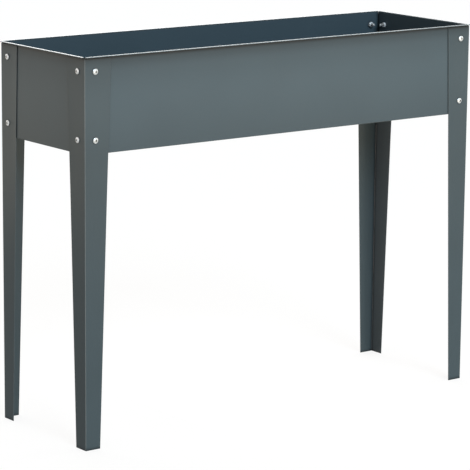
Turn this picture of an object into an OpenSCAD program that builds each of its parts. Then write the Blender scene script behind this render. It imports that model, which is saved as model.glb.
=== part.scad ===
// Raised planter: a folded sheet-steel box carried on four tapered angle legs.
// Origin on the ground under the middle of the box, +X along its length, +Z up.

/* [Overall] */
// Length over the outer faces of the legs
planter_l = 1010; // [600:10:1600]
// Width over the outer faces of the legs
planter_w = 310; // [220:10:600]
// Height of the rim above the ground
planter_h = 800; // [400:10:1100]

/* [Panels] */
// Height of the box, from its lower edge to the rim
box_h = 195; // [130:5:320]
// Sheet thickness of the four side panels
panel_t = 0.8; // [0.6:0.1:1.5]
// Inside radius of the fold between a wall and its floor flange
floor_fold_r = 0.8; // [0.5:0.1:2]
// Width of the flange turned in under the floor
floor_flange_w = 20; // [12:1:35]
// Gap left at the end of a panel, to the leg fold or to the next panel
corner_gap = 0.3; // [0.1:0.1:1.5]
// Gap left between two mitred floor flanges
mitre_gap = 1; // [0.5:0.1:3]

/* [Rim] */
// Reach of the rim beyond the outer face of a panel
rim_out = 5.2; // [4.6:0.2:14]
// Inside radius of the fold between a wall and the rim
rim_fold_r = 2; // [0.6:0.2:2.6]
// Length of the rim edge that is folded back underneath
hem_return = 2.4; // [1:0.1:3]
// Gap inside the folded-back edge
hem_gap = 0.5; // [0.2:0.1:1]

/* [Legs] */
// Sheet thickness of the legs
leg_t = 1.2; // [1:0.1:3]
// Inside radius of the leg fold
leg_fold_r = 0.5; // [0.5:0.1:3]
// Width of each leg flange at the top
leg_top_w = 62; // [50:1:90]
// Width of each leg flange at the foot
leg_foot_w = 35; // [20:1:50]
// Gap between the top of a leg and the underside of the rim
leg_top_gap = 2; // [0.5:0.5:6]

/* [Floor tray] */
// Sheet thickness of the floor tray
tray_t = 0.8; // [0.6:0.1:2]
// Inside radius of the tray's folds
tray_fold_r = 0.8; // [0.5:0.1:2]
// Height of the tray's upturned edge
tray_edge_h = 12; // [8:1:16]
// Gap between the tray and the panels
tray_gap = 0.6; // [0.3:0.1:3]
// Length cut away beside each corner of the tray edge
tray_notch = 6; // [3:1:12]
// Number of stiffening ribs pressed across the tray
rib_count = 4; // [1:1:6]
// Width of a stiffening rib
rib_w = 22; // [14:1:30]
// Height of a stiffening rib
rib_h = 4; // [2:0.5:6]
// Clear distance from the end of a rib to the tray edge
rib_margin = 28; // [20:1:60]
// Diameter of a drain hole
drain_d = 8; // [4:1:12]
// Distance of a drain hole from the centre line
drain_offset = 85; // [20:5:90]

/* [Fasteners] */
// Thread diameter of the screws
screw_d = 6; // [5:1:8]
// Length of a screw under its head
screw_l = 16; // [12:1:25]
// Diameter of a screw head
head_d = 12; // [9:0.5:16]
// Height of a screw head
head_h = 3.6; // [2.5:0.1:5]
// Depth of the cross recess in a screw head
recess_depth = 2; // [1:0.1:2.2]
// Width over the flats of a nut
nut_af = 10; // [10:0.5:13]
// Thickness of a nut
nut_h = 5; // [3:0.5:7]
// Diametral clearance of a screw in its holes
hole_clearance = 0.6; // [0.2:0.1:1.2]
// Diametral clearance of a screw in its nut
thread_clearance = 0.1; // [0.05:0.05:0.3]
// Distance of the screws from the corner
screw_in = 25; // [20:1:32]
// Distance of the upper screws below the rim
screw_down = 30; // [22:1:45]
// Distance of the lower screws above the lower edge of the box
screw_up = 28; // [27:1:45]

/* [Hidden] */

coat_colour = [0.37, 0.42, 0.43];
zinc_colour = [0.80, 0.82, 0.84];

// Faces of the box
box_low = planter_h - box_h;
face_x = planter_l / 2 - leg_t;
face_y = planter_w / 2 - leg_t;
long_panel_l = 2 * (face_x - leg_fold_r - corner_gap);
end_panel_l = 2 * (face_y - max(panel_t, leg_fold_r) - corner_gap);

// Rim section
hem_fold_r = hem_gap / 2;
hem_h = hem_gap + 2 * panel_t;
rim_flat = rim_out - rim_fold_r - hem_fold_r - panel_t;

// Flats of the wall and the floor flange, between their folds
wall_flat = box_h - floor_fold_r - rim_fold_r - 2 * panel_t;
flange_flat = floor_flange_w - floor_fold_r - panel_t;

leg_h = planter_h - hem_h - leg_top_gap;
leg_corner_r = leg_fold_r + leg_t;

// Floor tray, resting on the panel flanges
tray_low = box_low + panel_t;
tray_l = 2 * (face_x - panel_t - tray_gap);
tray_w = 2 * (face_y - panel_t - tray_gap);
tray_corner = tray_fold_r + tray_t;
rib_l = tray_w - 2 * rib_margin;
rib_pitch = tray_l / (rib_count + 1);
rib_r = (rib_w * rib_w / 4 + rib_h * rib_h) / (2 * rib_h);

// Fastener heights and the stack of sheet that each screw clamps
screw_heights = [box_low + screw_up, planter_h - screw_down];
clamped = leg_t + panel_t;
tip_chamfer = 0.8;
head_edge_h = 1.2;
recess_l = 0.55 * head_d;
recess_w = 1.4;

cut = 1;     // how far a cutter runs past the sheet it cuts
round = 48;  // fragments of a fold or a hole

// ---------------------------------------------------------------- sheet folding

// Quarter, half or part of a fold, around the origin, from angle a0 to a1
module fold_sector(inside_r, t, a0, a1) {
    reach = 2 * (inside_r + t);
    middle = (a0 + a1) / 2;
    half = abs(a1 - a0) / 2;
    intersection() {
        difference() {
            circle(r = inside_r + t, $fn = round);
            circle(r = inside_r, $fn = round);
        }
        polygon([
            [0, 0],
            reach * [cos(middle - half), sin(middle - half)],
            2 * reach * [cos(middle - half / 2), sin(middle - half / 2)],
            2 * reach * [cos(middle + half / 2), sin(middle + half / 2)],
            reach * [cos(middle + half), sin(middle + half)]
        ]);
    }
}

// Section of a folded strip, written as a press operator's list: each step is
// [flat length, fold angle, inside radius], a left-hand fold being positive.
module folded_strip(steps, t, i = 0) {
    flat = steps[i][0];
    angle = steps[i][1];
    r = steps[i][2];
    square([flat, t]);
    if (angle > 0) {
        translate([flat, t + r]) {
            fold_sector(r, t, -90, angle - 90);
            rotate(angle)
                translate([0, -t - r])
                    folded_strip(steps, t, i + 1);
        }
    }
    if (angle < 0) {
        translate([flat, -r]) {
            fold_sector(r, t, 90 + angle, 90);
            rotate(angle)
                translate([0, r])
                    folded_strip(steps, t, i + 1);
        }
    }
}

// Turns the +X side of the box to side 0 (right), 1 (back), 2 (left) or 3 (front)
module on_side(side) {
    rotate([0, 0, 90 * side])
        children();
}

// Extrudes an upright section along the side it stands on
module along_side(length) {
    rotate([90, 0, 0])
        linear_extrude(height = length, center = true)
            children();
}

// -------------------------------------------------------------------- fasteners

// Places its children at each screw of one leg, with +Z pointing out of the leg
module at_leg_screws(sx, sy) {
    for (z = screw_heights) {
        translate([sx * (planter_l / 2 - screw_in), sy * planter_w / 2, z])
            rotate([-sy * 90, 0, 0])
                children();
        translate([sx * planter_l / 2, sy * (planter_w / 2 - screw_in), z])
            rotate([0, sx * 90, 0])
                children();
    }
}

module screw_hole() {
    translate([0, 0, -clamped - cut])
        cylinder(d = screw_d + hole_clearance, h = clamped + 2 * cut, $fn = round);
}

module cross_recess() {
    translate([0, 0, head_h - recess_depth])
        intersection() {
            union() {
                translate([-recess_l / 2, -recess_w / 2, 0])
                    cube([recess_l, recess_w, recess_depth + cut]);
                translate([-recess_w / 2, -recess_l / 2, 0])
                    cube([recess_w, recess_l, recess_depth + cut]);
            }
            cylinder(d1 = recess_w, d2 = recess_l, h = recess_depth + 0.2, $fn = round);
        }
}

// Pan-head screw, with the underside of its head at z = 0
module screw() {
    crown = head_h - head_edge_h;
    crown_r = (head_d * head_d / 4 + crown * crown) / (2 * crown);
    difference() {
        union() {
            cylinder(d = head_d, h = head_edge_h, $fn = round);
            intersection() {
                translate([0, 0, head_h - crown_r])
                    sphere(r = crown_r, $fn = 2 * round);
                cylinder(d = head_d, h = head_h + cut, $fn = round);
            }
        }
        cross_recess();
    }
    translate([0, 0, tip_chamfer - screw_l])
        cylinder(d = screw_d, h = screw_l - tip_chamfer, $fn = round);
    translate([0, 0, -screw_l])
        cylinder(d1 = screw_d - 2 * tip_chamfer, d2 = screw_d, h = tip_chamfer, $fn = round);
}

// Hexagon nut, seated on the inner face of the panel
module nut() {
    across_corners = nut_af / cos(30);
    bevel = (across_corners - nut_af) / 2;
    translate([0, 0, -clamped - nut_h])
        difference() {
            intersection() {
                cylinder(d = across_corners, h = nut_h, $fn = 6);
                union() {
                    cylinder(d1 = nut_af, d2 = across_corners, h = bevel, $fn = round);
                    translate([0, 0, bevel])
                        cylinder(d = across_corners, h = nut_h - bevel, $fn = round);
                }
            }
            translate([0, 0, -cut])
                cylinder(d = screw_d + thread_clearance, h = nut_h + 2 * cut, $fn = round);
        }
}

module screws(sx, sy) {
    color(zinc_colour)
        at_leg_screws(sx, sy)
            screw();
}

module nuts(sx, sy) {
    color(zinc_colour)
        at_leg_screws(sx, sy)
            nut();
}

// ----------------------------------------------------------------------- panels

// Section of a side panel: floor flange, wall, rim and folded-back rim edge
module panel_section() {
    translate([-floor_flange_w, 0])
        folded_strip([
            [flange_flat, 90, floor_fold_r],
            [wall_flat, -90, rim_fold_r],
            [rim_flat, -180, hem_fold_r],
            [hem_return, 0, 0]
        ], panel_t);
}

// Cuts the end of a floor flange to 45 degrees, leaving the wall whole
module mitre_cut(end) {
    reach = floor_flange_w + 2 * cut;
    lean = mitre_gap / 2;
    translate([0, 0, -cut])
        linear_extrude(height = panel_t + floor_fold_r + cut)
            polygon([
                [-panel_t, end],
                [-panel_t, end - panel_t - lean],
                [-reach, end - reach - lean],
                [-reach, end]
            ]);
}

// One side panel, folded from flat sheet. The outer face lies at `face`, and
// `outer_corner` is the distance from its middle to the corner of the panel faces.
module side_panel(side, face, length, outer_corner) {
    color(coat_colour)
        difference() {
            on_side(side)
                translate([face, 0, box_low])
                    difference() {
                        along_side(length)
                            panel_section();
                        mitre_cut(outer_corner);
                        mirror([0, 1, 0])
                            mitre_cut(outer_corner);
                    }
            for (sx = [-1, 1], sy = [-1, 1])
                at_leg_screws(sx, sy)
                    screw_hole();
        }
}

module long_panel(side) {
    side_panel(side, face_y, long_panel_l, face_x);
}

module end_panel(side) {
    side_panel(side, face_x, end_panel_l, face_y);
}

// ------------------------------------------------------------------- floor tray

// Solid form of one pressed rib: a low bar of round section with round ends
module rib_form(shrink) {
    r = rib_r - shrink;
    half = rib_l / 2 - rib_w / 2;
    translate([0, 0, rib_h + tray_t - rib_r]) {
        rotate([90, 0, 0])
            cylinder(r = r, h = 2 * half, center = true, $fn = 2 * round);
        for (end = [-half, half])
            translate([0, end, 0])
                sphere(r = r, $fn = 2 * round);
    }
}

// Room for the rib forms above or below the sheet
module above(z) {
    translate([-tray_l, -tray_w, z])
        cube([2 * tray_l, 2 * tray_w, rib_h + 2 * cut]);
}

module at_ribs() {
    for (i = [1 : rib_count])
        translate([i * rib_pitch - tray_l / 2, 0, 0])
            children();
}

module at_drains() {
    for (i = [0 : rib_count], sy = [-1, 1])
        translate([(i + 0.5) * rib_pitch - tray_l / 2, sy * drain_offset, 0])
            children();
}

module tray_edge(side, half_across, length) {
    on_side(side)
        translate([half_across - 2 * tray_corner, 0, 0])
            along_side(length - 2 * tray_notch)
                folded_strip([
                    [tray_corner, 90, tray_fold_r],
                    [tray_edge_h - tray_corner, 0, 0]
                ], tray_t);
}

module floor_tray() {
    color(coat_colour)
        translate([0, 0, tray_low]) {
            difference() {
                union() {
                    translate([tray_corner - tray_l / 2, tray_corner - tray_w / 2, 0])
                        cube([tray_l - 2 * tray_corner, tray_w - 2 * tray_corner, tray_t]);
                    for (side = [0, 2])
                        tray_edge(side, tray_l / 2, tray_w);
                    for (side = [1, 3])
                        tray_edge(side, tray_w / 2, tray_l);
                    intersection() {
                        at_ribs()
                            rib_form(0);
                        above(0);
                    }
                }
                intersection() {
                    at_ribs()
                        rib_form(tray_t);
                    above(-cut);
                }
                at_drains()
                    translate([0, 0, -cut])
                        cylinder(d = drain_d, h = tray_t + 2 * cut, $fn = round);
            }
        }
}

// ------------------------------------------------------------------------- legs

// Outline of one leg flange, from the fold outwards, tapering to the foot
module flange_outline() {
    polygon([
        [leg_corner_r, 0],
        [leg_foot_w, 0],
        [leg_top_w, leg_h],
        [leg_corner_r, leg_h]
    ]);
}

// Angle leg standing on the origin, with its outer faces at x = 0 and y = 0
module angle_leg() {
    translate([leg_corner_r, leg_corner_r, 0])
        linear_extrude(height = leg_h)
            fold_sector(leg_fold_r, leg_t, 180, 270);
    translate([0, leg_t, 0])
        rotate([90, 0, 0])
            linear_extrude(height = leg_t)
                flange_outline();
    rotate([90, 0, 90])
        linear_extrude(height = leg_t)
            flange_outline();
}

module leg(sx, sy) {
    color(coat_colour)
        difference() {
            translate([sx * planter_l / 2, sy * planter_w / 2, 0])
                mirror([sx > 0 ? 1 : 0, 0, 0])
                    mirror([0, sy > 0 ? 1 : 0, 0])
                        angle_leg();
            at_leg_screws(sx, sy)
                screw_hole();
        }
}

// --------------------------------------------------------------------- assembly

long_panel(3);  // front_panel
long_panel(1);  // back_panel
end_panel(2);  // left_panel
end_panel(0);  // right_panel
floor_tray();
leg(-1, -1);  // leg_front_left
leg(1, -1);  // leg_front_right
leg(-1, 1);  // leg_back_left
leg(1, 1);  // leg_back_right
screws(-1, -1);  // screws_front_left
screws(1, -1);  // screws_front_right
screws(-1, 1);  // screws_back_left
screws(1, 1);  // screws_back_right
nuts(-1, -1);  // nuts_front_left
nuts(1, -1);  // nuts_front_right
nuts(-1, 1);  // nuts_back_left
nuts(1, 1);  // nuts_back_right
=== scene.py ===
import math
import bmesh
import bpy
from mathutils import Matrix, Vector


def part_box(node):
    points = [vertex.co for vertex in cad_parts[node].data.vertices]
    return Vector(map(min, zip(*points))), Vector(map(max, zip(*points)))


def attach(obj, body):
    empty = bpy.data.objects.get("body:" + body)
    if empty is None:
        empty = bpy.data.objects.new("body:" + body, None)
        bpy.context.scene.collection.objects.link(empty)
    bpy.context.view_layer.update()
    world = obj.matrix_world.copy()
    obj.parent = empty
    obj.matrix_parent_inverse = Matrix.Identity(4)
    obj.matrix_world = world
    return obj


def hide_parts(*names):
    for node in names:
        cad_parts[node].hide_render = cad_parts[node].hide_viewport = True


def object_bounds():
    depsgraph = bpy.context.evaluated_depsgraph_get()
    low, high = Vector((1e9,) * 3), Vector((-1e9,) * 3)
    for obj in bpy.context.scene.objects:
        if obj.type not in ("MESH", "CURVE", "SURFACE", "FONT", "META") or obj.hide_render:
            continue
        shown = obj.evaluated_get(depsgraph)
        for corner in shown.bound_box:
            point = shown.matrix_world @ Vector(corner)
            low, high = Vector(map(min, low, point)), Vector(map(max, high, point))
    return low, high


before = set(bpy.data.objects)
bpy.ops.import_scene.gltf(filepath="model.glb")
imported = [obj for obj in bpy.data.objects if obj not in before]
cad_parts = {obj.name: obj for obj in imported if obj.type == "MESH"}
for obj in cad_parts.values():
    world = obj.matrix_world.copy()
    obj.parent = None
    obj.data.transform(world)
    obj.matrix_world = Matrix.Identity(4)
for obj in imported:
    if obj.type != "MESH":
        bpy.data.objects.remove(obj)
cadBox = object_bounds()
mm = 0.001
print("frame:", len(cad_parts), "nodes")

# Corners that the whole planter is laid out from
legLow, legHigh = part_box("leg_front_left")
panelLow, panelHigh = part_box("front_panel")
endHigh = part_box("left_panel")[1]
trayLow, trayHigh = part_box("floor_tray")
screwLow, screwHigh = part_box("screws_front_left")

halfLength = -legLow.x  # over the outer faces of the legs
halfWidth = -legLow.y
boxBottom = panelLow.z
rimTop = panelHigh.z

# Sheet sizes that every piece shares
sheetLook = {
    "panelThick": 0.8 * mm,
    "legThick": 1.2 * mm,
    "trayThick": 0.8 * mm,
    "edgeRound": 0.22 * mm,  # how far coat and wear soften a cut edge
    "edgeParts": 3,  # steps of that rounding
    "edgeAngle": math.radians(50),  # corners sharper than this are rounded
    "foldStep": math.radians(11),
    "cell": 13 * mm,  # size of a mesh cell on a flat
    "holeRadius": 3.3 * mm,
    "holeCell": 7 * mm,  # half the square of mesh kept round a hole
    "holeParts": 4,  # steps of the hole for each step of that square
    "weld": 0.001 * mm,  # points closer than this become one
}
faceX = halfLength - sheetLook["legThick"]  # outer faces of the side panels
faceY = halfWidth - sheetLook["legThick"]

screwLook = {
    "headRadius": 6 * mm,
    "headEdge": 1.2 * mm,
    "headSoft": 0.35 * mm,  # rounding where the head's rim meets its crown
    "upperCurve": ((-0.3, 0.4), (0.0, -0.6)),  # points of that rounding, aside and up in shares of it
    "lowerCurve": ((0.0, 0.7), (-0.7, 0.0)),  # the same under the head's rim
    "crownSteps": 12,
    "shankRadius": 3 * mm,
    "threadStart": 2 * mm,  # from under the head
    "threadDepth": 0.55 * mm,
    "threadPitch": 1.0 * mm,
    "threadFlank": 1.6,  # steepness of the thread's sides
    "threadSteps": 8,  # rings of mesh to a turn
    "length": 16 * mm,
    "tip": 0.8 * mm,
    "recessLong": 6.6 * mm,
    "recessWide": 1.7 * mm,
    "recessCore": 3.2 * mm,  # across the middle, where the four wings join
    "recessDeep": 2.3 * mm,
    "recessAbove": 1 * mm,  # how far the cutter stands over the crown
    "recessMouth": 1.12,  # size of the cross there, and at its foot
    "recessFoot": 0.38,
    "recessTaper": 0.3,  # share of the taper that the wings' width follows
    "sides": 48,
    "sharp": math.radians(34),
    "turn": math.radians(137.5),  # each screw stops at another angle
}
headHeight = -screwLow.x - halfLength
screwIn = screwHigh.x - screwLook["headRadius"] + halfLength  # from the corner of the leg
screwHeights = [screwLow.z + screwLook["headRadius"], screwHigh.z - screwLook["headRadius"]]


# Camera
cameraLook = {
    "turn": 36.974,  # degrees that it stands round to the left of the front
    "down": 11.551,
    "roll": 0.503,
    "distance": 5.467,
    "lens": 194.62,
    "sensor": 36,
    "aim": (-0.0130, -0.0382),  # aside and up from the middle of the planter
}


def addCamera():
    turn = math.radians(cameraLook["turn"])
    down = math.radians(cameraLook["down"])
    ahead = Vector((math.sin(turn) * math.cos(down), math.cos(turn) * math.cos(down), -math.sin(down)))
    aside = Vector((math.cos(turn), -math.sin(turn), 0))
    upward = aside.cross(ahead)
    middle = (cadBox[0] + cadBox[1]) / 2
    aim = middle + aside * cameraLook["aim"][0] + upward * cameraLook["aim"][1]
    data = bpy.data.cameras.new("camera")
    data.sensor_width = cameraLook["sensor"]
    data.lens = cameraLook["lens"]
    data.dof.use_dof = False
    camera = bpy.data.objects.new("camera", data)
    camera.location = aim - ahead * cameraLook["distance"]
    level = Matrix((aside, upward, -ahead)).transposed()
    lean = Matrix.Rotation(math.radians(cameraLook["roll"]), 3, "Z")
    camera.rotation_mode = "QUATERNION"
    camera.rotation_quaternion = (level @ lean).to_quaternion()
    bpy.context.collection.objects.link(camera)
    bpy.context.scene.camera = camera


addCamera()
print("camera placed")


# Small tools for shader nodes
def feed(tree, socket, value):
    # another node's output is linked, and a plain number or colour is set
    if isinstance(value, bpy.types.NodeSocket):
        tree.links.new(value, socket)
    else:
        socket.default_value = value


def mathNode(tree, operation, first, second, clamp=False):
    node = tree.nodes.new("ShaderNodeMath")
    node.operation = operation
    node.use_clamp = clamp
    feed(tree, node.inputs[0], first)
    feed(tree, node.inputs[1], second)
    return node.outputs[0]


def dotNode(tree, first, second):
    node = tree.nodes.new("ShaderNodeVectorMath")
    node.operation = "DOT_PRODUCT"
    tree.links.new(first, node.inputs[0])
    tree.links.new(second, node.inputs[1])
    return node.outputs["Value"]


def scaleColour(tree, colour, share):
    node = tree.nodes.new("ShaderNodeVectorMath")
    node.operation = "SCALE"
    tree.links.new(colour, node.inputs[0])
    tree.links.new(share, node.inputs["Scale"])
    return node.outputs["Vector"]


def mixColour(tree, factor, first, second):
    node = tree.nodes.new("ShaderNodeMix")
    node.data_type = "RGBA"
    tree.links.new(factor, node.inputs["Factor"])
    for label, value in (("A", first), ("B", second)):
        feed(tree, node.inputs[label], (*value, 1) if isinstance(value, tuple) else value)
    return node.outputs["Result"]


def riseNode(tree, value, start, end):
    # smooth climb from 0 at the start to 1 at the end
    node = tree.nodes.new("ShaderNodeMapRange")
    node.interpolation_type = "SMOOTHSTEP"
    tree.links.new(value, node.inputs["Value"])
    feed(tree, node.inputs["From Min"], start)
    feed(tree, node.inputs["From Max"], end)
    return node.outputs["Result"]


def heightNode(tree, kind):
    # height in the planter's own measure, or in the surround's
    node = tree.nodes.new("ShaderNodeSeparateXYZ")
    tree.links.new(tree.nodes.new("ShaderNodeTexCoord").outputs[kind], node.inputs[0])
    return node.outputs["Z"]


def newMaterial(name):
    material = bpy.data.materials.new(name)
    material.use_nodes = True
    return material, material.node_tree, material.node_tree.nodes["Principled BSDF"]


# Studio: a pale floor in a white surround
studioLook = {
    "floorSize": 60,
    "floorColour": (0.26, 0.23, 0.20),  # what the floor throws back on the planter
    "floorSeen": (0.14, 0.14, 0.14),
    "floorLift": 0.87,
    "surroundLow": (0.102, 0.080, 0.053),  # light from all round, at the floor and overhead
    "surroundHigh": (0.316, 0.313, 0.296),
    "surroundClimb": (0.10, 0.95),  # where it turns from one to the other
}
# Soft lamps: a cool one in front, and neutral ones at the right end and behind.
# Each stands that many degrees round to the left of the front, and up.
sunLooks = {
    "keyLamp": {
        "turn": 8,
        "height": 30,
        "away": 3,
        "spread": 26,
        "strength": 2.03,
        "colour": (0.725, 0.875, 1.0),
    },
    "sideLamp": {
        "turn": -98,
        "height": 24,
        "away": 3,
        "spread": 60,
        "strength": 1.4,
        "colour": (1.0, 0.98, 0.94),
    },
    "backLamp": {
        "turn": -165,
        "height": 26,
        "away": 3,
        "spread": 60,
        "strength": 1.7,
        "colour": (1.0, 0.98, 0.94),
    },
}
# Upright glowing cards, warm, each with its middle that far above the floor: one beyond the left end,
# a wide one in front, a small one between the legs and one behind the left end
cardLooks = {
    "endGlow": {
        "turn": 90,
        "away": 1.15,
        "middle": 1.02,
        "size": (0.9, 0.5),
        "radiance": 0.96,
        "colour": (1.0, 0.735, 0.634),
    },
    "frontCard": {
        "turn": -12,
        "away": 2.4,
        "middle": 0.38,
        "size": (3.6, 0.76),
        "radiance": 4.75,
        "colour": (1.0, 0.852, 0.665),
    },
    "underCard": {
        "turn": 90,
        "away": 0.2,
        "middle": 0.2,
        "size": (0.3, 0.4),
        "radiance": 5.4,
        "colour": (1.0, 0.68, 0.58),
    },
    "endCard": {
        "turn": 143,
        "away": 1.6,
        "middle": 0.45,
        "size": (2.2, 0.5),
        "radiance": 1.29,
        "colour": (1.0, 0.852, 0.63),
    },
}


def whiteToEye(tree):
    # 1 where a ray comes straight from the camera, a mirror or glass
    path = tree.nodes.new("ShaderNodeLightPath")
    mirrored = mathNode(tree, "MAXIMUM", path.outputs["Is Camera Ray"], path.outputs["Is Glossy Ray"])
    return mathNode(tree, "MAXIMUM", mirrored, path.outputs["Is Transmission Ray"])


def addWorld():
    world = bpy.data.worlds.new("surround")
    world.use_nodes = True
    tree = world.node_tree
    tree.nodes.clear()
    output = tree.nodes.new("ShaderNodeOutputWorld")
    lit = tree.nodes.new("ShaderNodeBackground")
    seen = tree.nodes.new("ShaderNodeBackground")
    mix = tree.nodes.new("ShaderNodeMixShader")
    climb = riseNode(tree, heightNode(tree, "Generated"), *studioLook["surroundClimb"])
    glow = mixColour(tree, climb, studioLook["surroundLow"], studioLook["surroundHigh"])
    tree.links.new(glow, lit.inputs["Color"])
    seen.inputs["Color"].default_value = (1, 1, 1, 1)
    seen.inputs["Strength"].default_value = 1
    tree.links.new(whiteToEye(tree), mix.inputs[0])
    tree.links.new(lit.outputs[0], mix.inputs[1])
    tree.links.new(seen.outputs[0], mix.inputs[2])
    tree.links.new(mix.outputs[0], output.inputs["Surface"])
    bpy.context.scene.world = world


def addFloor():
    half = studioLook["floorSize"] / 2
    corners = [(-half, -half, 0), (half, -half, 0), (half, half, 0), (-half, half, 0)]
    mesh = bpy.data.meshes.new("studioFloor")
    mesh.from_pydata(corners, [], [(0, 1, 2, 3)])
    floor = bpy.data.objects.new("studioFloor", mesh)
    floor.location.z = cadBox[0].z
    bpy.context.collection.objects.link(floor)
    paper, tree, shader = newMaterial("studioPaper")
    shader.inputs["Roughness"].default_value = 1
    shader.inputs["Specular IOR Level"].default_value = 0
    shader.inputs["Emission Color"].default_value = (1, 1, 1, 1)
    eye = whiteToEye(tree)
    tone = mixColour(tree, eye, studioLook["floorColour"], studioLook["floorSeen"])
    tree.links.new(tone, shader.inputs["Base Color"])
    lift = mathNode(tree, "MULTIPLY", eye, studioLook["floorLift"])
    tree.links.new(lift, shader.inputs["Emission Strength"])
    mesh.materials.append(paper)


def addLamp(name, lamp, look, height, place):
    # turns a lamp to face the planter from its side, at that height in degrees
    turn = math.radians(look["turn"])
    climb = math.radians(height)
    toward = Vector((-math.sin(turn) * math.cos(climb), -math.cos(turn) * math.cos(climb), math.sin(climb)))
    lamp.color = look["colour"]
    holder = bpy.data.objects.new(name, lamp)
    holder.location = toward * look["away"] + Vector((0, 0, place))
    holder.rotation_mode = "QUATERNION"
    holder.rotation_quaternion = toward.to_track_quat("Z", "Y")
    holder.visible_camera = False
    bpy.context.collection.objects.link(holder)


def addSun(name, look):
    lamp = bpy.data.lights.new(name, "SUN")
    lamp.energy = look["strength"]
    lamp.angle = math.radians(look["spread"])
    addLamp(name, lamp, look, look["height"], 0)


def addCard(name, look):
    lamp = bpy.data.lights.new(name, "AREA")
    lamp.shape = "RECTANGLE"
    lamp.size, lamp.size_y = look["size"]
    lamp.energy = look["radiance"] * math.pi * lamp.size * lamp.size_y
    addLamp(name, lamp, look, 0, cadBox[0].z + look["middle"])


addWorld()
addFloor()
for name, look in sunLooks.items():
    addSun(name, look)
for name, look in cardLooks.items():
    addCard(name, look)
bpy.context.scene.view_settings.view_transform = "Standard"
print("studio lit")


# Effects that more than one material uses
effectLook = {
    "finerGrain": 3.1,  # how much finer the second layer of bumps is
    "edgeGain": 6.0,
    "edgeSamples": 4,
    "patchSize": 90.0,  # patches in which an edge is rubbed and carries a painted highlight
    "hollowSamples": 8,
}


def newGroup(name, inputs, outputs):
    group = bpy.data.node_groups.new(name, "ShaderNodeTree")
    for way, sockets in (("INPUT", inputs), ("OUTPUT", outputs)):
        for label, kind in sockets.items():
            group.interface.new_socket(label, in_out=way, socket_type="NodeSocket" + kind)
    return group, group.nodes.new("NodeGroupInput").outputs, group.nodes.new("NodeGroupOutput").inputs


def noiseNode(tree, scale, detail):
    node = tree.nodes.new("ShaderNodeTexNoise")
    tree.links.new(tree.nodes.new("ShaderNodeTexCoord").outputs["Object"], node.inputs["Vector"])
    feed(tree, node.inputs["Scale"], scale)
    node.inputs["Detail"].default_value = detail
    return node.outputs["Fac"]


def buildMottle():
    # slow drift of shade over a surface, around 1
    inputs = {"Size": "Float", "Amount": "Float", "Colour": "Color"}
    group, given, result = newGroup("mottle", inputs, {"Colour": "Color", "Value": "Float"})
    swing = mathNode(group, "SUBTRACT", noiseNode(group, given["Size"], detail=3.0), 0.5)
    value = mathNode(group, "ADD", mathNode(group, "MULTIPLY", swing, given["Amount"]), 1.0)
    group.links.new(scaleColour(group, given["Colour"], value), result["Colour"])
    group.links.new(value, result["Value"])
    return group


def buildGrain():
    # fine bumps of a sprayed or plated skin
    inputs = {"Size": "Float", "Depth": "Float", "Share": "Float"}
    group, given, result = newGroup("grain", inputs, {"Normal": "Vector"})
    broad = noiseNode(group, given["Size"], detail=1.0)
    finerSize = mathNode(group, "MULTIPLY", given["Size"], effectLook["finerGrain"])
    finer = mathNode(group, "MULTIPLY", noiseNode(group, finerSize, detail=1.0), given["Share"])
    bump = group.nodes.new("ShaderNodeBump")
    bump.inputs["Strength"].default_value = 1
    group.links.new(given["Depth"], bump.inputs["Distance"])
    group.links.new(mathNode(group, "ADD", broad, finer), bump.inputs["Height"])
    group.links.new(bump.outputs["Normal"], result["Normal"])
    return group


def buildEdge():
    # 1 along outer edges, broken up a little, and 0 on flats
    group, given, result = newGroup("edge", {"Reach": "Float", "Amount": "Float"}, {"Mask": "Float"})
    soft = group.nodes.new("ShaderNodeBevel")
    soft.samples = effectLook["edgeSamples"]
    group.links.new(given["Reach"], soft.inputs["Radius"])
    flat = group.nodes.new("ShaderNodeNewGeometry")
    along = dotNode(group, soft.outputs["Normal"], flat.outputs["Normal"])
    turned = mathNode(group, "SUBTRACT", 1.0, along, clamp=True)
    edge = mathNode(group, "MULTIPLY", turned, effectLook["edgeGain"], clamp=True)
    patchy = noiseNode(group, effectLook["patchSize"], detail=2.0)
    rubbed = mathNode(group, "MULTIPLY", patchy, given["Amount"])
    group.links.new(mathNode(group, "MULTIPLY", edge, rubbed), result["Mask"])
    return group


def buildFold():
    # 1 along the crest of a fold and 0 on flats that face along an axis
    group, given, result = newGroup("fold", {"Gain": "Float"}, {"Mask": "Float"})
    facing = group.nodes.new("ShaderNodeVectorMath")
    facing.operation = "ABSOLUTE"
    group.links.new(group.nodes.new("ShaderNodeNewGeometry").outputs["Normal"], facing.inputs[0])
    parts = group.nodes.new("ShaderNodeSeparateXYZ")
    group.links.new(facing.outputs["Vector"], parts.inputs[0])
    level = mathNode(group, "MAXIMUM", parts.outputs["X"], parts.outputs["Y"])
    most = mathNode(group, "MAXIMUM", level, parts.outputs["Z"])
    crest = mathNode(group, "SUBTRACT", 1.0, most)
    group.links.new(mathNode(group, "MULTIPLY", crest, given["Gain"], clamp=True), result["Mask"])
    return group


def buildHollow():
    # 1 deep in gaps and corners and 0 in the open
    group, given, result = newGroup("hollow", {"Reach": "Float", "Gain": "Float"}, {"Mask": "Float"})
    openness = group.nodes.new("ShaderNodeAmbientOcclusion")
    openness.samples = effectLook["hollowSamples"]
    group.links.new(given["Reach"], openness.inputs["Distance"])
    closed = mathNode(group, "SUBTRACT", 1.0, openness.outputs["AO"])
    group.links.new(mathNode(group, "MULTIPLY", closed, given["Gain"], clamp=True), result["Mask"])
    return group


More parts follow.
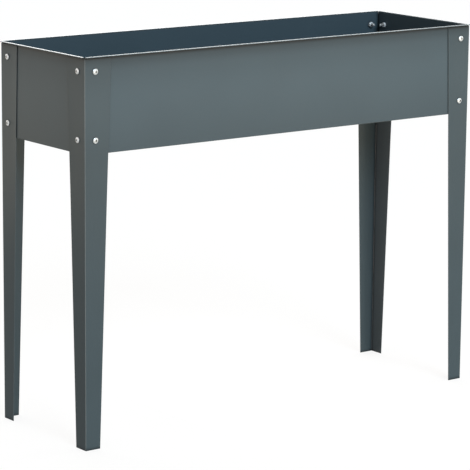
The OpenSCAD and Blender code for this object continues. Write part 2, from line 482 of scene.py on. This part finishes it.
def buildWall():
    # an outer face's colour with painted light and shade: paler half-way up, and painted shade toward a lip
    # in a broad and a narrow band
    heights = ["Low", "Middle", "High"]
    changes = ["EdgeGain", "MiddleGain", "LipReach", "LipShade", "LineReach", "LineShade"]
    inputs = {"Colour": "Color", **{label: "Float" for label in heights + changes}}
    group, given, result = newGroup("wallShade", inputs, {"Colour": "Color"})
    height = heightNode(group, "Object")
    below = riseNode(group, height, given["Low"], given["Middle"])
    above = riseNode(group, height, given["High"], given["Middle"])
    gain = group.nodes.new("ShaderNodeMapRange")
    group.links.new(mathNode(group, "MULTIPLY", below, above), gain.inputs["Value"])
    group.links.new(given["EdgeGain"], gain.inputs["To Min"])
    group.links.new(given["MiddleGain"], gain.inputs["To Max"])
    change = gain.outputs["Result"]
    for band in ("Lip", "Line"):
        start = mathNode(group, "SUBTRACT", given["High"], given[band + "Reach"])
        near = riseNode(group, height, start, given["High"])
        shade = mathNode(group, "MULTIPLY", near, given[band + "Shade"])
        change = mathNode(group, "SUBTRACT", change, shade)
    place = group.nodes.new("ShaderNodeTexCoord")
    face = group.nodes.new("ShaderNodeNewGeometry")
    outward = dotNode(group, place.outputs["Object"], face.outputs["Normal"])
    outer = mathNode(group, "GREATER_THAN", outward, 0.0)
    share = mathNode(group, "ADD", 1.0, mathNode(group, "MULTIPLY", outer, change))
    group.links.new(scaleColour(group, given["Colour"], share), result["Colour"])
    return group


mottleGroup = buildMottle()
grainGroup = buildGrain()
edgeGroup = buildEdge()
foldGroup = buildFold()
hollowGroup = buildHollow()
wallGroup = buildWall()


def useGroup(tree, group, **values):
    node = tree.nodes.new("ShaderNodeGroup")
    node.node_tree = group
    for label, value in values.items():
        feed(tree, node.inputs[label], value)
    return node.outputs


# Satin powder coat of the sheet parts
coatLook = {
    "colour": (0.0600, 0.0895, 0.1085),
    "shadeSize": 7.0,
    "shadeAmount": 0.16,
    # lighter along outer edges: wear, and a painted highlight
    "edgeWearHighlight": (0.13, 0.17, 0.19),
    "edgeReach": 0.6 * mm,
    "edgeAmount": 0.5,
    # painted highlight along the crests of folds
    "foldHighlight": (0.18, 0.205, 0.21),
    "foldGain": 1.0,
    "foldClear": 0.3,
    "clearRoughness": 0.2,
    "clearIor": 1.7,
    "gloss": 0.13,
    "roughness": 0.36,
    "sheenSize": 28.0,
    "sheenAmount": 0.16,
    "peelSize": 620.0,
    "peelDepth": 0.012 * mm,
    "peelShare": 0.35,
    "hollowColour": (0.018, 0.027, 0.032),
    "hollowReach": 8 * mm,
    "hollowGain": 2.0,
}

# Coat of the side panels, with slightly deeper painted shade in corners
panelCoatLook = {
    "hollowReach": 9 * mm,
    "hollowGain": 2.2,
}

# Coat of the legs, with a painted highlight and a glossier coat along the corner of each
legCoatLook = {
    "colour": (0.0558, 0.0814, 0.0965),
    "shadeSize": 9.0,
    "sheenSize": 36.0,
    "foldGain": 4.0,
    "foldClear": 0.8,
}

# Painted light and shade up the outer faces, between heights over the floor
wallPaintedLight = {
    "low": boxBottom - 20 * mm,
    "middle": rimTop - 86 * mm,
    "high": rimTop,
    "edgeGain": -0.06,  # change of colour at the top and the bottom, and half-way
    "middleGain": 0.15,
    "lipReach": 35 * mm,  # painted shade below the lip of the rim, in a broad and a narrow band
    "lipShade": 0.35,
    "lineReach": 10 * mm,
    "lineShade": 0.42,
}
legWallPaintedLight = {
    "edgeGain": -0.04,
    "middleGain": 0.11,
    "lipReach": 27 * mm,
}

# Rim of the panels: a painted highlight in a lighter colour, and a smoother, glossier coat
rimHighlightLook = {
    "low": rimTop - 1.4 * mm,
    "high": rimTop - 0.3 * mm,
    "colour": (0.12, 0.18, 0.225),
    "clearIor": 1.8,
}


def coatMaterial(name, look):
    material, tree, shader = newMaterial(name)
    base = (*look["colour"], 1)
    shade = useGroup(tree, mottleGroup, Size=look["shadeSize"], Amount=look["shadeAmount"], Colour=base)
    sheen = useGroup(tree, mottleGroup, Size=look["sheenSize"], Amount=look["sheenAmount"])
    peel = useGroup(tree, grainGroup, Size=look["peelSize"], Depth=look["peelDepth"], Share=look["peelShare"])
    edge = useGroup(tree, edgeGroup, Reach=look["edgeReach"], Amount=look["edgeAmount"])
    fold = useGroup(tree, foldGroup, Gain=look["foldGain"])
    hollow = useGroup(tree, hollowGroup, Reach=look["hollowReach"], Gain=look["hollowGain"])
    # painted highlight along the crests of folds
    colour = mixColour(tree, fold["Mask"], shade["Colour"], look["foldHighlight"])
    # lighter colour along edges: wear, and a painted highlight
    colour = mixColour(tree, edge["Mask"], colour, look["edgeWearHighlight"])
    # painted shade in gaps, corners and under the rim
    colour = mixColour(tree, hollow["Mask"], colour, look["hollowColour"])
    roughness = mathNode(tree, "MULTIPLY", sheen["Value"], look["roughness"])
    clear = mathNode(tree, "MULTIPLY", fold["Mask"], look["foldClear"])
    tree.links.new(colour, shader.inputs["Base Color"])
    tree.links.new(roughness, shader.inputs["Roughness"])
    tree.links.new(peel["Normal"], shader.inputs["Normal"])
    tree.links.new(clear, shader.inputs["Coat Weight"])
    shader.inputs["Specular IOR Level"].default_value = look["gloss"]
    shader.inputs["Coat Roughness"].default_value = look["clearRoughness"]
    shader.inputs["Coat IOR"].default_value = look["clearIor"]
    return material


def shadeWall(material, look):
    tree = material.node_tree
    base = tree.nodes["Principled BSDF"].inputs["Base Color"]
    values = {label[0].upper() + label[1:]: value for label, value in look.items()}
    wall = useGroup(tree, wallGroup, Colour=base.links[0].from_socket, **values)
    tree.links.new(wall["Colour"], base)


def paintRimHighlight(material, look):
    # painted highlight in a lighter colour, and a smoother, glossier coat, toward the top of the panels
    tree = material.node_tree
    shader = tree.nodes["Principled BSDF"]
    base = shader.inputs["Base Color"]
    clear = shader.inputs["Coat Weight"]
    rise = riseNode(tree, heightNode(tree, "Object"), look["low"], look["high"])
    tree.links.new(mixColour(tree, rise, base.links[0].from_socket, look["colour"]), base)
    tree.links.new(mathNode(tree, "MAXIMUM", rise, clear.links[0].from_socket), clear)
    shader.inputs["Coat IOR"].default_value = look["clearIor"]


# Bright zinc plate of the screws and nuts
zincLook = {
    "colour": (0.62, 0.65, 0.655),
    "shadeSize": 260.0,
    "shadeAmount": 0.22,
    "stainColour": (0.36, 0.38, 0.37),
    "stainSize": 90.0,
    "stainGain": 1.6,
    "dullAmount": 1.0,
    "roughness": 0.38,
    "metal": 0.6,
    "grainSize": 900.0,
    "grainDepth": 0.01 * mm,
    "grainShare": 0.6,
    "hollowColour": (0.05, 0.05, 0.05),
    "hollowReach": 2.0 * mm,
    "hollowGain": 3.0,
}

# The nuts: a lighter copy of the screws' zinc that paints in their highlights, with less painted shade and
# less metal
nutZincLook = {
    "colour": (0.90, 0.93, 0.95),
    "metal": 0.3,
    "hollowGain": 1.0,
}


def zincMaterial(name, look):
    material, tree, shader = newMaterial(name)
    base = (*look["colour"], 1)
    shade = useGroup(tree, mottleGroup, Size=look["shadeSize"], Amount=look["shadeAmount"], Colour=base)
    dull = useGroup(tree, mottleGroup, Size=look["stainSize"], Amount=look["dullAmount"])
    size = look["grainSize"]
    grain = useGroup(tree, grainGroup, Size=size, Depth=look["grainDepth"], Share=look["grainShare"])
    hollow = useGroup(tree, hollowGroup, Reach=look["hollowReach"], Gain=look["hollowGain"])
    above = mathNode(tree, "SUBTRACT", dull["Value"], 1.0)
    stain = mathNode(tree, "MULTIPLY", above, look["stainGain"], clamp=True)
    colour = mixColour(tree, stain, shade["Colour"], look["stainColour"])
    # painted shade in the recess, the thread and round the nuts
    colour = mixColour(tree, hollow["Mask"], colour, look["hollowColour"])
    roughness = mathNode(tree, "MULTIPLY", dull["Value"], look["roughness"])
    tree.links.new(colour, shader.inputs["Base Color"])
    tree.links.new(roughness, shader.inputs["Roughness"])
    tree.links.new(grain["Normal"], shader.inputs["Normal"])
    shader.inputs["Metallic"].default_value = look["metal"]
    return material


panelCoat = coatMaterial("panelCoat", {**coatLook, **panelCoatLook})
shadeWall(panelCoat, wallPaintedLight)
paintRimHighlight(panelCoat, rimHighlightLook)
trayCoat = coatMaterial("trayCoat", coatLook)
legCoat = coatMaterial("legCoat", {**coatLook, **legCoatLook})
shadeWall(legCoat, {**wallPaintedLight, **legWallPaintedLight})
screwZinc = zincMaterial("screwZinc", zincLook)
nutZinc = zincMaterial("nutZinc", {**zincLook, **nutZincLook})
print("materials made")


# Shared mesh making
def spacedStops(start, end, step, marks=(), reach=0.0):
    # stops from start to end, one at each mark and one at its reach on either side
    fixed = sorted({start, end, *[mark + side * reach for mark in marks for side in (-1, 0, 1)]})
    stops = []
    for low, high in zip(fixed, fixed[1:]):
        count = max(1, round((high - low) / step))
        stops += [low + (high - low) * i / count for i in range(count)]
    return stops + [end]


def foldedLine(start, steps, thick):
    # middle line of a folded strip
    # each step has the stops of its flat, the fold's angle and its inside radius
    points = []
    place = Vector(start)
    heading = 0.0
    for stops, angle, radius in steps:
        along = Vector((math.cos(heading), math.sin(heading)))
        points += [place + along * stop for stop in (stops[1:] if points else stops)]
        place = points[-1]
        side = math.copysign(1, angle)
        reach = side * (radius + thick / 2)
        centre = place + reach * Vector((-math.sin(heading), math.cos(heading)))
        count = math.ceil(abs(angle) / sheetLook["foldStep"])
        for i in range(1, count + 1):
            turned = heading + angle * i / count
            points.append(centre + reach * Vector((math.sin(turned), -math.cos(turned))))
        heading += angle
        place = points[-1]
    return points


def gridMesh(rows):
    # bmesh of quads through rows of points
    bm = bmesh.new()
    net = [[bm.verts.new(point) for point in row] for row in rows]
    for lower, upper in zip(net, net[1:]):
        for i in range(len(lower) - 1):
            bm.faces.new((lower[i], lower[i + 1], upper[i + 1], upper[i]))
    return bm


def ringFaces(bm, lower, upper):
    # quads between two closed rings of points
    for k in range(len(lower)):
        after = (k + 1) % len(lower)
        bm.faces.new((lower[k], lower[after], upper[after], upper[k]))


def storedMesh(bm, name):
    bmesh.ops.recalc_face_normals(bm, faces=bm.faces)
    mesh = bpy.data.meshes.new(name)
    bm.to_mesh(mesh)
    bm.free()
    return mesh


def punchHole(bm, centre, axis, radius, reach):
    # swaps the flat square of faces round a centre for a ring of faces round a hole
    faces = [f for f in bm.faces if max(abs(c) for c in f.calc_center_median() - centre) < reach]
    edges = {e for f in faces for e in f.edges}
    border = [e for e in edges if sum(f in faces for f in e.link_faces) == 1]
    across = axis.orthogonal().normalized()
    upright = axis.cross(across)
    corners = {v for e in border for v in e.verts}
    angleOf = {v: math.atan2((v.co - centre).dot(upright), (v.co - centre).dot(across)) for v in corners}
    ring = sorted(corners, key=angleOf.get)
    bmesh.ops.delete(bm, geom=faces, context="FACES_KEEP_BOUNDARY")
    parts = sheetLook["holeParts"]
    for i, corner in enumerate(ring):
        after = ring[(i + 1) % len(ring)]
        start = angleOf[corner]
        sweep = (angleOf[after] - start) % (2 * math.pi)
        arc = []
        for k in range(parts + 1):
            angle = start + sweep * k / parts
            arc.append(centre + radius * (across * math.cos(angle) + upright * math.sin(angle)))
        points = [bm.verts.new(p) for p in arc]
        bm.faces.new([corner, after, *reversed(points)])
    bmesh.ops.remove_doubles(bm, verts=bm.verts, dist=sheetLook["weld"])


def finishPiece(name, bm, material):
    # turns a bmesh into a piece that stands for the node of the same name
    mesh = storedMesh(bm, name + "_finish")
    mesh.shade_smooth()
    mesh.materials.append(material)
    piece = bpy.data.objects.new(name + "_finish", mesh)
    bpy.context.collection.objects.link(piece)
    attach(piece, "root")
    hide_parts(name)
    return piece


def thickenSheet(piece, thick):
    solid = piece.modifiers.new("thickness", "SOLIDIFY")
    solid.thickness = thick
    solid.offset = 0
    solid.use_even_offset = True
    soften = piece.modifiers.new("cutEdges", "BEVEL")
    soften.width = sheetLook["edgeRound"]
    soften.segments = sheetLook["edgeParts"]
    soften.limit_method = "ANGLE"
    soften.angle_limit = sheetLook["edgeAngle"]
    level = piece.modifiers.new("flatShading", "WEIGHTED_NORMAL")
    level.keep_sharp = True


# Side panels: floor flange, wall, and a rim with a hemmed edge
panelLook = {
    "floorFold": 0.8 * mm,  # inside radius
    "rimFold": 2.0 * mm,
    "hemGap": 0.5 * mm,
    "hemReturn": 2.4 * mm,
    "flangeCell": 6.5 * mm,
    "mitreGap": 1.0 * mm,
    "mitreZone": 60 * mm,  # end stretch over which the mesh follows the mitre
}


def panelLine(flange, rimReach):
    # section of a panel: distance outside its outer face, and height
    thick = sheetLook["panelThick"]
    floorFold = panelLook["floorFold"]
    rimFold = panelLook["rimFold"]
    hemFold = panelLook["hemGap"] / 2
    wallLow = boxBottom + thick + floorFold
    wallHigh = rimTop - thick - rimFold
    heights = spacedStops(wallLow, wallHigh, sheetLook["cell"], screwHeights, sheetLook["holeCell"])
    wall = [z - wallLow for z in heights]
    floor = spacedStops(0, flange - floorFold - thick, panelLook["flangeCell"])
    rim = [0, rimReach - rimFold - hemFold - thick]
    hem = [0, panelLook["hemReturn"]]
    steps = [
        (floor, math.radians(90), floorFold),
        (wall, math.radians(-90), rimFold),
        (rim, math.radians(-180), hemFold),
        (hem, 0, 0),
    ]
    return foldedLine((-flange, boxBottom + thick / 2), steps, thick)


def sidePanel(name, outward, face, half, cornerFace, flange, rimReach):
    along = Vector((-outward.y, outward.x, 0))
    thick = sheetLook["panelThick"]
    foldTop = boxBottom + thick + panelLook["floorFold"]
    holes = [side * (cornerFace + sheetLook["legThick"] - screwIn) for side in (-1, 1)]
    stops = spacedStops(-half, half, sheetLook["cell"], holes, sheetLook["holeCell"])
    inner = half - panelLook["mitreZone"]
    rows = []
    for out, z in panelLine(flange, rimReach):
        end = half
        if z < foldTop and out < -thick:
            end = min(half, cornerFace + out - panelLook["mitreGap"] / 2)
        row = []
        for stop in stops:
            past = max(0, abs(stop) - inner) * (end - inner) / (half - inner)
            place = math.copysign(min(abs(stop), inner) + past, stop)
            row.append(outward * (face + out) + along * place + Vector((0, 0, z)))
        rows.append(row)
    bm = gridMesh(rows)
    for hole in holes:
        for z in screwHeights:
            centre = outward * (face - thick / 2) + along * hole + Vector((0, 0, z))
            punchHole(bm, centre, outward, sheetLook["holeRadius"], sheetLook["holeCell"])
    thickenSheet(finishPiece(name, bm, panelCoat), thick)


floorFlange = panelHigh.y + faceY
rimReach = -panelLow.y - faceY
for name, outward in (("front_panel", Vector((0, -1, 0))), ("back_panel", Vector((0, 1, 0)))):
    sidePanel(name, outward, faceY, panelHigh.x, faceX, floorFlange, rimReach)
for name, outward in (("left_panel", Vector((-1, 0, 0))), ("right_panel", Vector((1, 0, 0)))):
    sidePanel(name, outward, faceX, endHigh.y, faceY, floorFlange, rimReach)
print("side panels folded")


# Floor tray: upturned edges, pressed ribs and drain holes
trayLook = {
    "fold": 0.8 * mm,
    "notch": 6 * mm,
    "ribs": 4,
    "ribWide": 24 * mm,
    "ribHigh": 3.9 * mm,
    "ribCrown": 0.8,  # under 1 makes a rib's top flatter
    "ribMargin": 27 * mm,
    "ribCell": 1.8 * mm,
    "edgeCell": 4 * mm,
    "drainRadius": 4 * mm,
    "drainAside": 85 * mm,
    "drainCell": 8 * mm,
}


def trayLine(half, edgeHigh, marks, reach, fineZones):
    # half section of the tray from its middle out
    # each point has its place and height, and whether it lies on the upturned edge
    thick = sheetLook["trayThick"]
    corner = trayLook["fold"] + thick
    flats = spacedStops(0, half - corner, sheetLook["cell"], marks, reach)
    for low, high in fineZones:
        kept = [s for s in flats if s <= low or s >= high]
        flats = sorted({*kept, *spacedStops(max(low, 0), high, trayLook["ribCell"])})
    edge = spacedStops(0, edgeHigh - corner, trayLook["edgeCell"])
    line = foldedLine((0, thick / 2), [(flats, math.radians(90), trayLook["fold"]), (edge, 0, 0)], thick)
    return [(place, height, i >= len(flats)) for i, (place, height) in enumerate(line)]


def mirrored(line):
    # the same half section on both sides of the middle
    return [(-place, height, edge) for place, height, edge in reversed(line[1:])] + line


def ribHeight(x, y, ribs, ribHalf):
    # smooth pressed rib with round ends
    reach = trayLook["ribWide"] / 2
    away = min(math.hypot(x - rib, max(0, abs(y) - ribHalf + reach)) for rib in ribs)
    if away >= reach:
        return 0
    return trayLook["ribHigh"] * (0.5 + 0.5 * math.cos(math.pi * away / reach)) ** trayLook["ribCrown"]


def buildTray():
    thick = sheetLook["trayThick"]
    halfX = trayHigh.x
    halfY = trayHigh.y
    edgeHigh = trayHigh.z - trayLow.z
    pitch = 2 * halfX / (trayLook["ribs"] + 1)
    ribs = [(i + 1) * pitch - halfX for i in range(trayLook["ribs"])]
    drains = [(i + 0.5) * pitch - halfX for i in range(trayLook["ribs"] + 1)]
    reach = trayLook["ribWide"] / 2
    ribHalf = halfY - trayLook["ribMargin"]
    wideX = [(rib - reach, rib + reach) for rib in ribs if rib > 0]
    wideY = [(ribHalf - reach, ribHalf)]
    marksX = [drain for drain in drains if drain > 0]
    lineX = mirrored(trayLine(halfX, edgeHigh, marksX, trayLook["drainCell"], wideX))
    lineY = mirrored(trayLine(halfY, edgeHigh, [trayLook["drainAside"]], trayLook["drainCell"], wideY))
    rows = []
    for y, rise, edge in lineY:
        row = []
        for x, lift, side in lineX:
            flat = thick / 2 + (0 if edge or side else ribHeight(x, y, ribs, ribHalf))
            row.append(Vector((x, y, trayLow.z + max(flat, rise, lift))))
        rows.append(row)
    bm = gridMesh(rows)
    flatX = halfX - trayLook["fold"] - thick
    flatY = halfY - trayLook["fold"] - thick
    notchX = halfX - trayLook["notch"]
    notchY = halfY - trayLook["notch"]
    cut = []
    for face in bm.faces:
        x, y = (abs(c) for c in face.calc_center_median().xy)
        if (x > flatX and y > notchY) or (y > flatY and x > notchX):
            cut.append(face)
    bmesh.ops.delete(bm, geom=cut, context="FACES")
    for x in drains:
        for y in (-trayLook["drainAside"], trayLook["drainAside"]):
            centre = Vector((x, y, trayLow.z + thick / 2))
            punchHole(bm, centre, Vector((0, 0, 1)), trayLook["drainRadius"], trayLook["drainCell"])
    thickenSheet(finishPiece("floor_tray", bm, trayCoat), thick)


buildTray()
print("floor tray pressed")


# Angle legs, tapering to the foot
legLook = {
    "fold": 0.5 * mm,
    "footWide": 35 * mm,
    "cell": 18 * mm,
    "freeCells": 4,  # cells between the screw holes and the free edge
    "spring": 0.35 * mm,  # how far a flange's free edge stands off the panel between its screws
    "springFade": 90 * mm,
}


def legStops(wide):
    # stops across one flange, from the fold to its free edge
    corner = legLook["fold"] + sheetLook["legThick"]
    held = screwIn + sheetLook["holeCell"]
    stops = spacedStops(corner, held, sheetLook["cell"], [screwIn], sheetLook["holeCell"])
    cells = legLook["freeCells"]
    return stops + [held + (wide - held) * i / cells for i in range(1, cells + 1)]


def springAt(reach, wide, z):
    held = screwIn + sheetLook["holeCell"]
    out = max(0, reach - held) / (wide - held)
    fade = min(1, max(0, 1 - (boxBottom - z) / legLook["springFade"]))
    return legLook["spring"] * out ** 2 * fade ** 2 * (3 - 2 * fade)


def buildLeg(name, sideX, sideY):
    thick = sheetLook["legThick"]
    corner = legLook["fold"] + thick
    topWide = legHigh.x - legLow.x
    rows = []
    for z in spacedStops(0, legHigh.z, legLook["cell"], screwHeights, sheetLook["holeCell"]):
        wide = legLook["footWide"] + (topWide - legLook["footWide"]) * z / legHigh.z
        flange = [(stop, thick / 2 - springAt(stop, wide, z)) for stop in legStops(wide)]
        count = math.ceil(math.pi / 2 / sheetLook["foldStep"])
        turn = [math.pi / 2 * i / count for i in range(1, count)]
        radius = corner - thick / 2
        fold = [(corner - radius * math.sin(a), corner - radius * math.cos(a)) for a in turn]
        section = list(reversed(flange)) + fold + [(b, a) for a, b in flange]
        rows.append([Vector((sideX * (halfLength - a), sideY * (halfWidth - b), z)) for a, b in section])
    bm = gridMesh(rows)
    for z in screwHeights:
        for a, b, axis in ((screwIn, thick / 2, Vector((0, 1, 0))), (thick / 2, screwIn, Vector((1, 0, 0)))):
            centre = Vector((sideX * (halfLength - a), sideY * (halfWidth - b), z))
            punchHole(bm, centre, axis, sheetLook["holeRadius"], sheetLook["holeCell"])
    thickenSheet(finishPiece(name, bm, legCoat), thick)


corners = [("front_left", -1, -1), ("front_right", 1, -1), ("back_left", -1, 1), ("back_right", 1, 1)]
for corner, sideX, sideY in corners:
    buildLeg("leg_" + corner, sideX, sideY)
print("legs folded")


# Screws and nuts
def lathe(profile, sides, twist):
    # closed round mesh from a profile of radius and height, first and last point on the axis
    bm = bmesh.new()
    rings = []
    for radius, z in profile[1:-1]:
        ring = []
        for k in range(sides):
            angle = 2 * math.pi * k / sides
            r = twist(radius, z, angle)
            ring.append(bm.verts.new((r * math.cos(angle), r * math.sin(angle), z)))
        rings.append(ring)
    for lower, upper in zip(rings, rings[1:]):
        ringFaces(bm, lower, upper)
    for ring, (radius, z) in ((rings[0], profile[0]), (rings[-1], profile[-1])):
        tip = bm.verts.new((radius, 0, z))
        for k in range(sides):
            bm.faces.new((ring[k], ring[(k + 1) % sides], tip))
    return bm


def threadRadius(radius, z, angle):
    # runs a V thread round the shank below the head
    look = screwLook
    if z > -look["threadStart"] or radius < look["shankRadius"]:
        return radius
    phase = (z / look["threadPitch"] - angle / (2 * math.pi)) % 1
    ridge = min(1, look["threadFlank"] * abs(2 * phase - 1))
    return radius - look["threadDepth"] * (1 - ridge)


def screwMesh():
    look = screwLook
    head = look["headRadius"]
    soft = look["headSoft"]
    shankRadius = look["shankRadius"]
    crown = headHeight - look["headEdge"]
    crownRadius = (head * head + crown * crown) / (2 * crown)
    dome = []
    for i in range(look["crownSteps"] + 1):
        r = (head - soft) * i / look["crownSteps"]
        dome.append((r, headHeight - crownRadius + math.sqrt(crownRadius ** 2 - r * r)))
    edge = [(head + soft * aside, look["headEdge"] + soft * up) for aside, up in look["upperCurve"]]
    under = [(head + soft * aside, soft * up) for aside, up in look["lowerCurve"]]
    step = look["threadPitch"] / look["threadSteps"]
    rings = int((look["length"] - look["tip"]) / step)
    shank = [(shankRadius, -step * i) for i in range(rings + 1)]
    tip = [(shankRadius - look["tip"], -look["length"]), (0, -look["length"])]
    return storedMesh(lathe(dome + edge + under + shank + tip, look["sides"], threadRadius), "screwBlank")


def crossMesh():
    # tapered cross that cuts the recess
    look = screwLook
    bm = bmesh.new()
    mouth = (headHeight + look["recessAbove"], look["recessMouth"])
    foot = (headHeight - look["recessDeep"], look["recessFoot"])
    loops = []
    for z, share in (mouth, foot):
        long = look["recessLong"] / 2 * share
        wide = look["recessWide"] / 2 * (1 - look["recessTaper"] + look["recessTaper"] * share)
        core = max(look["recessCore"] / 2 * share, wide)
        outline = [(long, -wide), (long, wide), (core, wide), (wide, core)]
        loop = []
        for quarter in range(4):
            turn = Matrix.Rotation(quarter * math.pi / 2, 3, "Z")
            loop += [bm.verts.new(turn @ Vector((x, y, z))) for x, y in outline]
        loops.append(loop)
    ringFaces(bm, *loops)
    for loop in loops:
        bm.faces.new(loop)
    return storedMesh(bm, "crossCutter")


def cutRecess():
    # one finished screw mesh, with its recess
    blank = bpy.data.objects.new("screwBlank", screwMesh())
    cutter = bpy.data.objects.new("crossCutter", crossMesh())
    for item in (blank, cutter):
        bpy.context.collection.objects.link(item)
    cut = blank.modifiers.new("recess", "BOOLEAN")
    cut.operation = "DIFFERENCE"
    cut.solver = "EXACT"
    cut.object = cutter
    bpy.context.view_layer.update()
    mesh = bpy.data.meshes.new_from_object(blank.evaluated_get(bpy.context.evaluated_depsgraph_get()))
    bpy.data.objects.remove(blank)
    bpy.data.objects.remove(cutter)
    return mesh


nutLook = {
    "acrossFlats": 10 * mm,
    "thick": 5 * mm,
    "bearing": 0.97,  # size of the round bearing face, in shares of the width across flats
    "bevel": math.radians(30),
    "bore": 3.05 * mm,
    "countersink": 0.4 * mm,
    "perSide": 8,
    "sharp": math.radians(25),
}


def nutMesh():
    # chamfered hexagon nut with a countersunk bore, standing up from z = 0
    look = nutLook
    flat = look["acrossFlats"] / 2
    thick = look["thick"]
    bore = look["bore"]
    sink = look["countersink"]
    bearing = flat * look["bearing"]
    count = 6 * look["perSide"]
    bm = bmesh.new()
    columns = []
    for k in range(count):
        angle = 2 * math.pi * k / count
        within = (angle + math.pi / 6) % (math.pi / 3) - math.pi / 6
        hexagon = flat / math.cos(within)
        bevel = (hexagon - bearing) * math.tan(look["bevel"])
        outside = [(bearing, 0), (hexagon, bevel), (hexagon, thick - bevel), (bearing, thick)]
        inside = [(bore + sink, thick), (bore, thick - sink), (bore, sink), (bore + sink, 0)]
        column = []
        for radius, z in outside + inside:
            column.append(bm.verts.new((radius * math.cos(angle), radius * math.sin(angle), z)))
        columns.append(column)
    rings = list(zip(*columns))
    for i, ring in enumerate(rings):
        ringFaces(bm, ring, rings[(i + 1) % len(rings)])
    return storedMesh(bm, "nutBlank")


def screwPlaces(sideX, sideY):
    # one matrix for each screw of a leg, with its own Z axis pointing out of the leg
    places = []
    for z in screwHeights:
        front = Vector((sideX * (halfLength - screwIn), sideY * halfWidth, z))
        end = Vector((sideX * halfLength, sideY * (halfWidth - screwIn), z))
        for spot, outward in ((front, Vector((0, sideY, 0))), (end, Vector((sideX, 0, 0)))):
            facing = outward.to_track_quat("Z", "Y").to_matrix().to_4x4()
            places.append(Matrix.Translation(spot) @ facing)
    return places


def placeFasteners(name, mesh, matrices, material, sharp):
    bm = bmesh.new()
    for matrix in matrices:
        copy = mesh.copy()
        copy.transform(matrix)
        bm.from_mesh(copy)
        bpy.data.meshes.remove(copy)
    piece = finishPiece(name, bm, material)
    piece.data.set_sharp_from_angle(angle=sharp)


screwBody = cutRecess()
nutBody = nutMesh()
stack = sheetLook["legThick"] + sheetLook["panelThick"] + nutLook["thick"]
count = 0
for corner, sideX, sideY in corners:
    screws = []
    nuts = []
    for place in screwPlaces(sideX, sideY):
        spin = Matrix.Rotation(screwLook["turn"] * count, 4, "Z")
        screws.append(place @ spin)
        nuts.append(place @ spin @ Matrix.Translation((0, 0, -stack)))
        count += 1
    placeFasteners("screws_" + corner, screwBody, screws, screwZinc, screwLook["sharp"])
    placeFasteners("nuts_" + corner, nutBody, nuts, nutZinc, nutLook["sharp"])
print("screws and nuts placed:", count, "of each")
